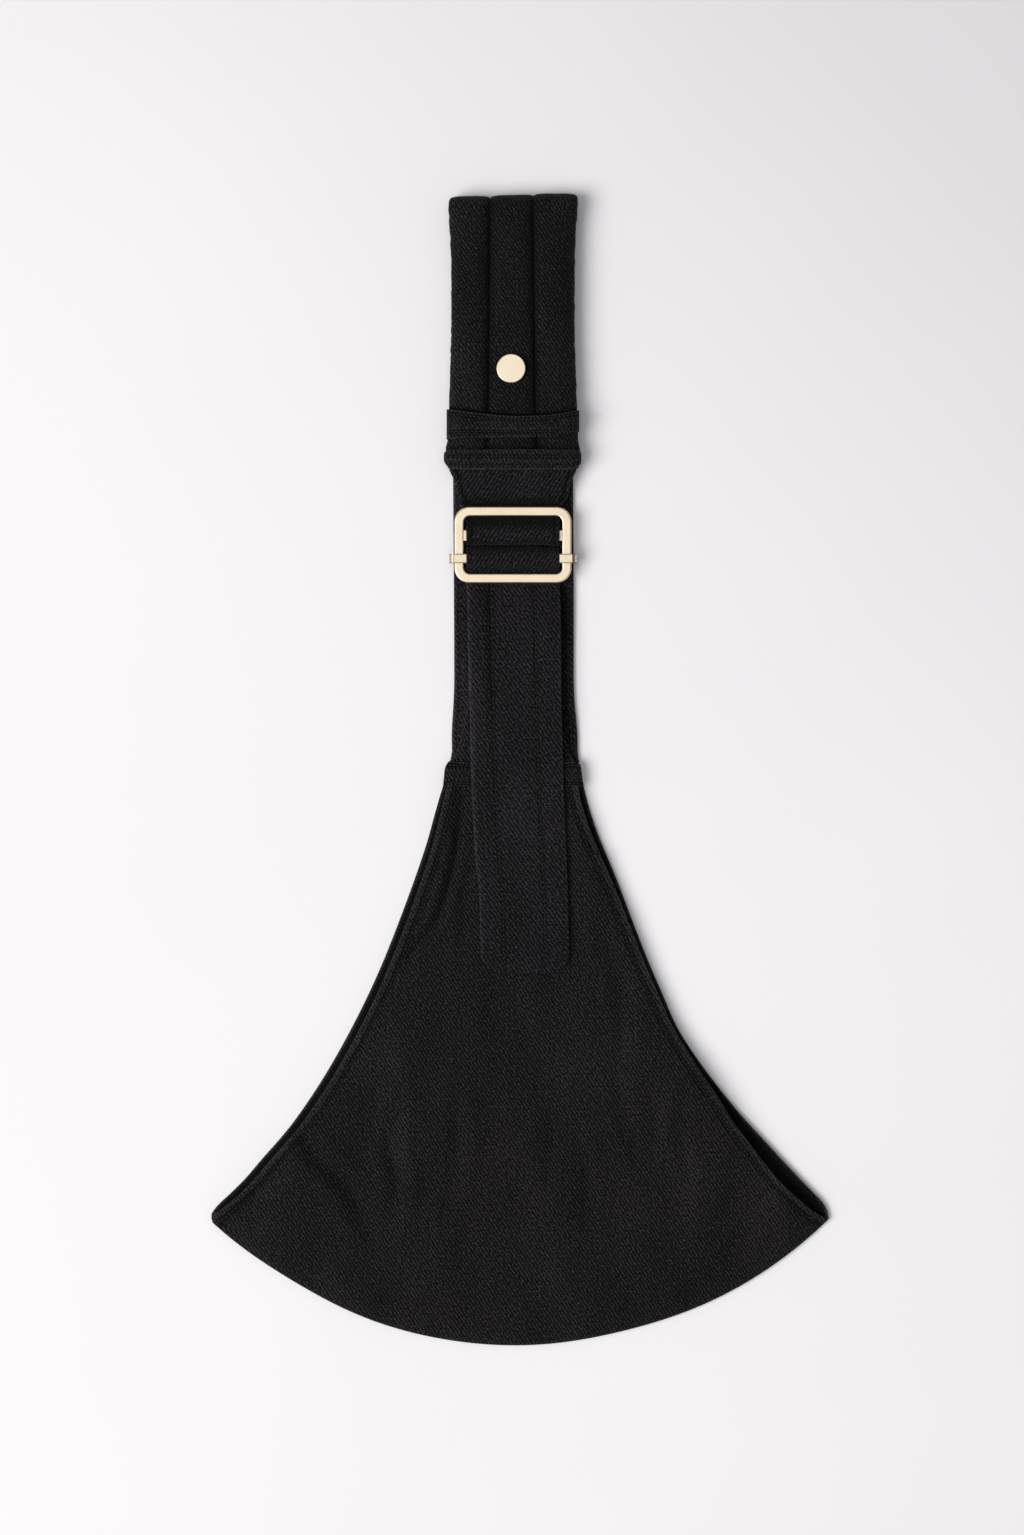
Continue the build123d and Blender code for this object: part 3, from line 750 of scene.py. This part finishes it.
def back_strap_shade(x, y):
    """A painted highlight on the left, and painted shade beside both edges of the adjuster strap."""
    left = 0.75 * bell(x + 27.5 - 0.012 * (y - 60), 2.0) * ease(118, 108, y)
    right = 0.5 * bell(x - 31.0, 3.0) * ease(118, 112, y)
    return left + right - 0.3 * ease(-20, -27, x)


back_strap = strap(
    [(4.4, 1.9), (60, 2.0), (130, 2.0), (200.5, 2.0)],
    curve([(4, 42.0), (7.5, 40.6), (11, 40.2), (22, 40.2), (34, 39.4), (45, 38.6), (60, 38.2),
           (104, 38.3), (200.5, 38.4)]),
    curve([(4, 1.0), (11, 1.2), (22, 1.05), (34, 0.85), (45, 0.7), (100, 0.6), (200, 0.0)]),
    half=1.75, edge=1.9, lines=(-38.0, 38.0), step=4.0, row_step=5.0, profile=soft(0.12, 21, 55),
    name="back_strap_cloth", shade=back_strap_shade,
)
leg = strap(
    [(-8.8, 5.75), (5, 5.65), (60, 5.6), (118.6, 5.6)],
    curve([(-8.8, 42.6), (1, 41.4), (5, 39.8), (9, 37.4), (18, 33.6), (32, 30.6), (50, 28.6),
           (118.6, 28.0)]),
    level(0.0), half=0.66, edge=0.9, lines=(-24.5, 24.5), step=3.0, row_step=3.0,
    profile=soft(0.06, 22, 50), name="leg_cloth",
)
TAIL_HALF = curve([(-129.8, 28.1), (-84, 28.2), (-52, 29.1), (6, 29.4), (44, 29.2), (76, 29.6),
                   (121, 29.7)])
TAIL_SHIFT = curve([(-129.8, 7.9), (-84, 7.0), (-52, 4.8), (6, 2.5), (44, 1.6), (76, 1.0), (108, 0.5),
                    (121, 0.0)])
TAIL_SPLIT = 44.0
TAIL_ROWS = (-14.0, 13.6)
# How far the tail's left channel is puffed, and the depth of the groove beside it, along y.
LEFT_PUFF = curve([(-129.8, 0.25), (-60, 0.35), (0, 0.55), (45, 1.0), (90, 1.7), (112, 1.6), (121, 0.2)])
GROOVE = curve([(-129.8, 0.05), (-20, 0.2), (30, 0.45), (60, 0.9), (105, 1.05), (118, 0.2), (121, 0)])


def tail_face(x, s, y):
    """A puffed channel on the left with a groove beside its stitches, and flatter ones to the right."""
    left = np.clip((x + 29.5) / 14.5, 0, 1)
    z = LEFT_PUFF(y) * np.sin(np.pi * left ** 0.8) - GROOVE(y) * bell(x + 15.6, 2.3)
    middle = np.clip((x + 14) / 27.6, 0, 1)
    right = np.clip((x - 13.6) / 16, 0, 1)
    z = z + (0.30 + 0.35 * ease(20, 90, y)) * np.sin(np.pi * middle) + 0.3 * np.sin(np.pi * right)
    z = z + 1.15 * ease(10, 28, x) * ease(62, 20, y) * ease(-129, -112, y)
    return z + 0.14 * ripple(x, y * 0.6, 50, 31) - 0.15


def tail_shade(x, y):
    """Painted highlight along the left edge, paler along the right, painted shade down the groove."""
    return 0.45 * GROOVE(y) * bell(x + 16.2, 2.2) - 0.55 * bell(x + 28.6, 1.5) - 0.2 * bell(x - 29.0, 0.8)


tail_lower = strap(
    [(-129.8, 9.95), (-100, 9.8), (-60, 9.75), (0, 9.85), (TAIL_SPLIT, 10.17), (TAIL_SPLIT + 3, 10.05)],
    TAIL_HALF, TAIL_SHIFT, half=0.72, edge=1.0, lines=TAIL_ROWS, step=2.0, row_step=2.2,
    profile=tail_face, name="tail_lower", corner=(-129.8, 12.5), skip=(3, 5), shade=tail_shade,
)
tail_upper = strap(
    [(TAIL_SPLIT, 10.2), (72, 10.7), (92, 10.6), (104, 9.9), (111, 8.8), (116, 7.7), (120.0, 7.42)],
    TAIL_HALF, TAIL_SHIFT, half=0.72, edge=1.0, lines=TAIL_ROWS, step=2.0, row_step=2.2,
    profile=tail_face, name="tail_upper", skip=(1, 3), crisp=(True, False), shade=tail_shade,
)


def fold_wave(x):
    """How far the crease between the two folded straps wanders along the sling."""
    return 0.6 * ripple(x, 0 * x, 26, 47)


def wrap_face(x, s, y):
    """Slight creases across the folded strap."""
    creases = 0.2 * ripple(x * 0.5, s, 13, 41) + 0.2 * ripple(x, s, 26, 42)
    return creases - fold_wave(x) * bell(y - 141.3, 1.6)


wrap = strap(
    [(119.6, 5.6), (126, 5.6), (133, 5.65), (137.8, 5.9), (140.4, 7.1), (141.0, 8.9), (140.0, 10.8),
     (137.8, 12.4), (134.8, 13.2), (131.8, 12.8), (129.6, 11.2), (127.8, 9.2), (124.8, 7.7),
     (120.4, 7.42)],
    level(29.7), level(0.0), half=0.66, edge=0.9, step=1.6, row_step=0.8, profile=wrap_face,
    name="wrap_cloth",
    # Painted shade in the crease between the folded straps and towards the wrap's lower end.
    shade=lambda x, y: 0.75 * bell(y - 142.2 - fold_wave(x), 3.2) + 0.2 * ease(131, 127, y),
)


def loop_face(x, s, y):
    """Creases where the strap is gathered over the bar, and slight unevenness all along it."""
    creases = 0.22 * ripple(x * 0.45, s, 12, 43) + 0.28 * ripple(x, s, 30, 44)
    uneven = 0.12 * ripple(x, s, 34, 45)
    return creases * ease(166, 158, y) + uneven + fold_wave(x) * bell(y - 143.5, 1.6)


connector = strap(
    [(199.4, 10.0), (191, 9.9), (184, 8.7), (177, 7.4), (170, 7.0), (165.2, 7.2), (161.6, 7.9),
     (158.2, 9.3), (154.8, 11.6), (151.6, 13.1), (148.6, 13.4), (146.0, 12.5), (144.4, 10.6),
     (143.8, 8.4), (145.0, 6.6), (148.0, 5.85), (156, 5.75), (164, 5.75)],
    curve([(143, 29.7), (164, 29.9), (168, 31.7), (171, 33.4), (177, 35.9), (181, 36.7),
           (185, 37.8), (188, 39.3), (191, 40.6), (200, 41.4)]),
    level(0.0), half=0.68, edge=1.0, lines=(-37.4, 37.4), step=1.8, row_step=1.0, profile=loop_face,
    name="connector_cloth", skip=(3, 46),
    # Painted shade where the strap runs under the frame's top bar, and in the crease between the folded
    # straps.
    shade=lambda x, y: 0.72 * ease(151.5, 157, y) * ease(176, 168, y) + 0.6 * bell(y - 143.0, 3.0),
)

# ------------------------------ padded section

# The padded section is a flat tube that runs up the front, turns over at y = FOLD_Y and runs down
# the back. BEND is the length of its turn.
PAD_END, FOLD_Y, FOLD_Z = 201.8, 359.5, 9.0
RUN = FOLD_Y - PAD_END
BEND = math.pi * 6.5
PAD_HALF = curve([
    (200, 43.2), (204, 42.8), (209, 41.9), (216, 41.3), (240, 40.5), (286, 39.3), (320, 39.3),
    (345, 40.2), (362, 41.2), (368, 41.4),
])
VALLEY_LEFT = curve([(200, -16.4), (232, -15.8), (350, -14.6), (368, -14.4)])
VALLEY_RIGHT = curve([(200, 15.8), (232, 14.4), (350, 13.0), (368, 12.8)])
KEEPER_TOP = curve([(-42, 229.3), (-20, 226.4), (4, 224.6), (22, 225.4), (42, 228.6)])
TOP_DROP = curve([(-42, 3.1), (-19, 2.8), (-12, 2.4), (4, 2.0), (10, 1.6), (15, 1.15), (42, 1.15)])
BUTTON_X, BUTTON_Y = -1.2, 254.9
INNER = 0.72  # height of the tube's inner face over the fold's axis


def channels(x, y, bend):
    """Height of the puffed channels over the fold's axis. bend is 0 on the flats and 1 at the fold."""
    half = PAD_HALF(y)
    bounds = [-half, VALLEY_LEFT(y), VALLEY_RIGHT(y), half]
    h = np.zeros(np.broadcast(x, y).shape)
    for k in range(3):
        a, b = bounds[k], bounds[k + 1]
        t = np.clip((x - a) / (b - a), 0, 1)
        puff = (1 - np.abs(2 * t - 1) ** (2.1 + 2.6 * bend)) ** (0.5 - 0.1 * bend)
        low_a = 1.0 + 4.6 * bend if k == 0 else 1.9 + 4.9 * bend
        low_b = 1.0 + 5.4 * bend if k == 2 else 1.9 + 4.9 * bend
        low = low_a + (low_b - low_a) * t
        h = np.where((x >= a) & (x <= b), low + (9.0 - low) * puff, h)
    return h


def pad_height(x, y, value, bend, front):
    """Height of the padded section's outer face over the fold's axis, value mm along its length."""
    along = value + 0 * x
    h = channels(x, y + 0 * x, bend)
    pucker = ripple(x, along, 15, 51) * 0.13 + ripple(x * 1.6, along, 7, 52) * 0.05
    h = h + pucker * ease(3, 5, h) * (1 - 0.6 * bend) + 0.12 * ripple(x, along, 45, 53)
    h = h * (1 - 0.12 * ease(232, 208, y) - 0.26 * bell(y - 203.2, 3.6))
    if not front:
        return np.clip(h, 0.75, 8.95)
    from_button = np.hypot(x - BUTTON_X, y - BUTTON_Y)
    h = h - 1.25 * bell(from_button - 3, 9) * bell(from_button, 13)
    sink = ease(207, 212, y) * ease(240, 229, y)
    h = np.where(h > 7.7, 7.7 + (h - 7.7) * (1 - 0.85 * sink), h)
    h = h - 3.4 * bell(y - KEEPER_TOP(x) - 0.7, 1.5) * ease(3, 6, h)
    return np.clip(h, 0.75, 9.25)


def pad_shade(x, y, front):
    """Painted shade in the valleys, along the keeper's upper edge and above the hem; darker to the right.
    """
    shade = 0.08 + 0.1 * ease(-22, -8, x)
    shade = shade + 0.65 * bell(x - VALLEY_LEFT(y), 2.1) + 0.65 * bell(x - VALLEY_RIGHT(y), 2.1)
    if front:
        shade = shade + 0.9 * bell(y - KEEPER_TOP(x) - 0.4, 1.3) + 0.3 * bell(y - 204.6, 1.6)
    return shade


def pad_part():
    """The padded section's cover: a puffed tube of three channels, folded over at the top."""
    border = np.array([0, 0.002, 0.008, 0.02, 0.04])
    u = np.concatenate([border - 1, np.linspace(-0.93, 0.93, 129), 1 - border[::-1]])
    # Each stretch's start, length and number of rings: closest under the keeper's upper edge.
    runs = [(0, 18, 13), (18, 15, 31), (33, RUN - 33, 76), (RUN, BEND, 21), (RUN + BEND, RUN, 64)]
    s = [start + np.linspace(0, size, count)[:-1] for start, size, count in runs]
    s = np.concatenate([*s, [2 * RUN + BEND]])
    rows, cloth, dark = [], [], []
    for value in s:
        turned = np.clip((value - RUN) / BEND, 0, 1)
        turn = turned * math.pi
        bend = float(bell(value - RUN - BEND / 2, 13))
        y = min(PAD_END + value, FOLD_Y, FOLD_Y - (value - RUN - BEND))
        front = value < RUN + BEND / 2
        half = PAD_HALF(y + 6 * math.sin(turn))
        x = u * half
        h = pad_height(x, y, value, bend, front)
        h[0] = h[-1] = 0.9
        shade = pad_shade(x, y, front)
        # Its side edges waver a little.
        x = x + (np.abs(u) > 0.97) * np.sign(u) * 0.3 * ripple(value + 0 * x, x, 8, 54)
        under = np.linspace(1, -1, 25)[1:-1] * half
        ring_x = np.concatenate([x, under])
        ring_h = np.concatenate([h, np.full(len(under), INNER)])
        ring_y = y + ring_h * math.sin(turn)
        ring_y = ring_y - TOP_DROP(ring_x) * ease(300, 366, ring_y)
        rows.append(np.stack([ring_x, ring_y, FOLD_Z + ring_h * math.cos(turn)], 1))
        cloth.append(np.stack([ring_x, np.full(len(ring_x), value)], 1))
        dark.append(np.concatenate([shade, np.zeros(len(under))]))
    grid, uv = np.array(rows), np.array(cloth)
    n, m = grid.shape[:2]
    index = np.arange(n * m).reshape(n, m)
    faces = [quads(np.concatenate([index, index[:, :1]], 1))]
    # Both ends are closed with strips between the outer and the inner points of their section.
    tops, lows = len(u), m - len(u) + 2
    match = np.interp(np.arange(tops), np.linspace(0, tops - 1, lows), np.arange(lows)).round()
    inner = np.concatenate([[0], np.arange(m)[:0:-1][: m - tops], [tops - 1]])[match.astype(int)]
    for k in (0, n - 1):
        a, b = index[k, :tops], index[k, inner]
        faces.append(np.stack([a[:-1], a[1:], b[1:], b[:-1]], 1))
    return grid.reshape(-1, 3), np.concatenate(faces), uv.reshape(-1, 2), np.concatenate(dark)


def without_repeats(faces):
    """Faces without repeated corners: the quads, then the triangles that remain."""
    good, triangles = [], []
    for face in faces.tolist():
        kept = list(dict.fromkeys(face))
        if len(kept) == 4:
            good.append(kept)
        elif len(kept) == 3:
            triangles.append(kept)
    return good + triangles


pad_verts, pad_faces, pad_cloth, pad_painted_shade = pad_part()
pad = cloth_object("pad_shell", pad_verts, without_repeats(pad_faces), pad_cloth, pad_painted_shade, [TWILL])

# The lining's (y, z) line, down the inner faces of both halves and round the inside of the fold.
LINING = [(202.5, 9.36), (270, 9.36), (340, 9.36), (355.5, 9.36), (356.3, 9.0), (355.5, 8.64),
          (340, 8.64), (270, 8.64), (202.5, 8.64)]


def band(name, section, low_edge, high_edge, half, edge, rows, slope=0.0, steps=5.0, taper=None,
         seed=61, dark=1.35):
    """A band that runs across the sling.

    section is its (x, z) line and its edges are y at each x. half is half its thickness and edge
    the width of its rounded border. rows are its rows of stitches, above its low edge, and dark
    says how much painted shade lies along their grooves. slope is how much higher it is at its
    high edge, and taper(y) scales its width.
    """
    p, s = path(section)
    at = spread(0, s[-1], steps, edge)
    x, z = np.interp(at, s, p[:, 0]), np.interp(at, s, p[:, 1])
    low, high = low_edge(x), high_edge(x)
    wide = float(np.median(high - low))
    v = spread(0, wide, 2.0, edge, rows)
    across = v[:, None]
    y = low + (high - low) * (across / wide)
    px = x * (taper(y) if taper else 1.0) + 0 * y
    flat = np.broadcast_to(ease(0, 8, np.minimum(at, at[-1] - at)), y.shape)
    pz = z + slope * (across / wide) * flat + 0.16 * ripple(px, y, 20, seed) * flat
    painted_light_and_wear = 0 * y
    # Each row sinks the face and gets painted shade along its groove, with a painted highlight to either
    # side.
    for r in rows:
        pz = pz - 0.36 * bell(across - r, 0.7) * flat
        painted_light_and_wear = painted_light_and_wear + dark * bell(across - r, 0.85) - 0.35 * bell(abs(across - r) - 1.7, 0.8)
    mid = np.dstack([px, y, pz])
    uv = np.dstack([np.broadcast_to(at, y.shape), y])
    parts = [pillow(mid, half, edge, uv, painted_light_and_wear)]
    up = surface_normals(mid)
    for r in rows:
        k = int(abs(v - r).argmin())
        parts.append(thread(mid[k, 4:-4], up[k, 4:-4], half, pitch=2.6, length=2.0))
    return piece(name, parts, [TWILL, THREAD])


keeper = band(
    "keeper",
    [(-41.4, 10.2), (-41.9, 13.4), (-40.6, 16.7), (-36, 18.5), (-27, 18.9), (-16, 18.5), (-1.5, 18.9),
     (14.5, 18.5), (27, 18.9), (36, 18.5), (40.6, 16.7), (41.9, 13.4), (41.4, 10.2)],
    curve([(-42, 209.8), (-30, 210.8), (0, 211.2), (24, 211.6), (29, 213.2), (42, 214.9)]),
    KEEPER_TOP, half=0.45, edge=0.9, rows=(3.4, 11.6), steps=3.0,
)
hem_front = band(
    "hem_front",
    [(-41.8, 9.6), (-42.9, 11.4), (-42.0, 13.2), (-37, 14.2), (-20, 14.5), (0, 14.5), (20, 14.5),
     (37, 14.2), (41.6, 13.2), (42.4, 11.4), (41.4, 9.6)],
    curve([(-43.2, 195.6), (-41.5, 192.9), (-38.5, 191.2), (-33, 190.8), (0, 190.7), (33, 190.8),
           (38.5, 191.2), (41.5, 192.9), (43.2, 195.6)]),
    curve([(-43.2, 202.4), (-40, 203.4), (0, 203.8), (40, 203.4), (43.2, 202.4)]),
    half=1.3, edge=2.2, rows=(2.9, 8.2), slope=1.6, steps=3.0, seed=62,
)
hem_back = band(
    "hem_back",
    [(-41.8, 5.0), (-30, 5.4), (0, 5.5), (30, 5.4), (41.8, 5.0)],
    curve([(-43, 193), (-38, 191.2), (38, 191.2), (43, 193)]),
    curve([(-43, 201), (0, 201.8), (43, 201)]),
    half=0.95, edge=1.4, rows=(3.0, 8.0), slope=0.8, seed=63,
)
BAND_TAPER = curve([(-11, 1.005), (-4, 0.99), (0, 0.98), (2, 0.965), (3.6, 0.945), (4.8, 0.92),
                    (5.6, 0.89)])
front_band = band(
    "front_band",
    [(-44.2, 7.2), (-43.4, 8.2), (-38, 8.65), (-28, 8.55), (0, 8.35), (30, 8.45), (38, 8.65),
     (43.4, 8.2), (44.2, 7.2)],
    curve([(-45, -10.8), (0, -10.4), (45, -10.8)]),
    curve([(-45, 5.4), (-38, 4.6), (0, 4.0), (38, 4.6), (45, 5.2)]),
    half=0.38, edge=0.8, rows=(1.5, 12.8), slope=-0.2, steps=3.0, taper=BAND_TAPER, seed=64,
    dark=2.4,
)
back_band = band(
    "back_band",
    [(-43.8, 1.9), (-38, 2.35), (0, 2.4), (38, 2.35), (43.8, 1.9)],
    level(-9.6), level(3.4), half=0.26, edge=0.6, rows=(2.0, 11.0), taper=BAND_TAPER, seed=65,
)
inside = strap(
    LINING, level(38.0), level(0.0), half=0.3, edge=0.8, step=4.0, row_step=2.0, name="pad_inside",
    materials=[INSIDE_SHADED, THREAD],
)

# ------------------------------ what rides on what

SLING, BUCKLE, BAR, TAIL = "sling", "buckle", "sliding_bar", "tail"
TABLE = [
    # piece, CAD node, slot, flat size (mm), flat area (m2), held, rests on
    (front_panel, "pouch_front_outer", "twill", (386, 372), 0.0790, "laid", "front_panel_lining"),
    (front_lining, "pouch_front_lining", "twill_inside", (384, 370), 0.0775, "laid", "back_panel_lining"),
    (back_panel, "pouch_back_outer", "twill", (396, 372), 0.0817, "laid", "pouch_back_band"),
    (back_lining, "pouch_back_lining", "twill_inside", (394, 371), 0.0800, "laid", "back_panel"),
    (front_band, "pouch_front_band", "twill", (90, 15), None, "laid", "front_panel"),
    (back_band, "pouch_back_band", "twill", (88, 13), None, "laid", "back_panel_lining"),
    (back_strap, "back_strap", "twill", (78, 198), None, "laid", "back_panel"),
    (leg, "adjuster_leg", "twill", (60, 127), None, "laid", "back_strap_cloth"),
    (connector, "connector_strap", "twill", (74, 76), None, "folded", "buckle_frame"),
    (wrap, "adjuster_wrap", "twill", (59, 56), None, "folded", "slide_bar"),
    (tail_upper, "adjuster_tail", "twill", (59, 78), None, "laid", "leg_cloth"),
    (tail_lower, "adjuster_tail", "twill", (58, 174), None, "laid", "front_panel"),
    (keeper, "keeper_band", "twill", (100, 15), None, "stretched", "pad_shell"),
    (hem_front, "pad_hem_front", "twill", (94, 13), None, "folded", "connector_cloth"),
    (hem_back, "pad_hem_back", "twill", (86, 10), None, "folded", "back_strap_cloth"),
    (inside, "pad_lining", "twill_inside", (78, 320), None, "folded", "pad_shell"),
]
for obj, cad, slot_name, flat, area, held, under in TABLE:
    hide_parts(cad)
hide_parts("connector_loop")
for cad in ("pad_cover", "wadding_left", "wadding_middle", "wadding_right"):
    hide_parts(cad)


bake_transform(connector)
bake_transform(wrap)
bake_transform(leg)
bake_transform(tail_upper)
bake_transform(tail_lower)
for obj in (front_panel, front_lining, back_panel, back_lining, front_band, back_band, back_strap, pad,
            keeper, hem_front, hem_back, inside):
    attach(obj, SLING)

CAD_LOOKS = {
    "buckle_frame": GOLD, "slide_bar": GOLD_BAR, "button_cap": GOLD_BUTTON, "button_tack": GOLD_BUTTON,
}
for name, material in CAD_LOOKS.items():
    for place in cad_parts[name].material_slots:
        place.material = material

# ------------------------------ stage, light and camera

SIDE = 6.0
FLOOR_Z = -0.2 * MM
floor_mesh = bpy.data.meshes.new("floor")
corners = [(-SIDE, -SIDE, 0), (SIDE, -SIDE, 0), (SIDE, SIDE, 0), (-SIDE, SIDE, 0)]
floor_mesh.from_pydata(corners, [], [(0, 1, 2, 3)])
floor_mesh.materials.append(paper())
floor = bpy.data.objects.new("floor", floor_mesh)
floor.location.z = FLOOR_Z
bpy.context.scene.collection.objects.link(floor)


def lamp(name, place, size, power, tint):
    """A round lamp that shines on the sling. place and size are in metres."""
    data = bpy.data.lights.new(name, "AREA")
    data.shape = "DISK"
    data.size, data.energy, data.color = size, power, tint
    obj = bpy.data.objects.new(name, data)
    obj.location = place
    obj.rotation_mode = "QUATERNION"
    obj.rotation_quaternion = (-Vector(place)).to_track_quat("-Z", "Y")
    bpy.context.scene.collection.objects.link(obj)


lamp("window", (-3.35, -1.15, 4.1), 4.0, 275, (1.0, 0.99, 0.98))
lamp("overhead", (-0.1, 0.0, 3.4), 2.6, 16.5, (1.0, 0.99, 0.985))
world = bpy.data.worlds.new("studio")
world.use_nodes = True
background = world.node_tree.nodes["Background"]
background.inputs[0].default_value = (0.975, 0.965, 1.0, 1)
background.inputs[1].default_value = 0.30
bpy.context.scene.world = world
bpy.context.scene.view_settings.view_transform = "Standard"

# The camera looks straight down. VIEW_HEIGHT is how much it takes in along Y, on the floor.
VIEW_HEIGHT, DISTANCE, SENSOR = 982.4 * MM, 3.0, 36.0
camera_data = bpy.data.cameras.new("camera")
camera_data.sensor_width = SENSOR
camera_data.lens = SENSOR * DISTANCE / VIEW_HEIGHT
camera = bpy.data.objects.new("camera", camera_data)
camera.location = (-0.0006, 0.0011, DISTANCE)
bpy.context.scene.collection.objects.link(camera)
bpy.context.scene.camera = camera
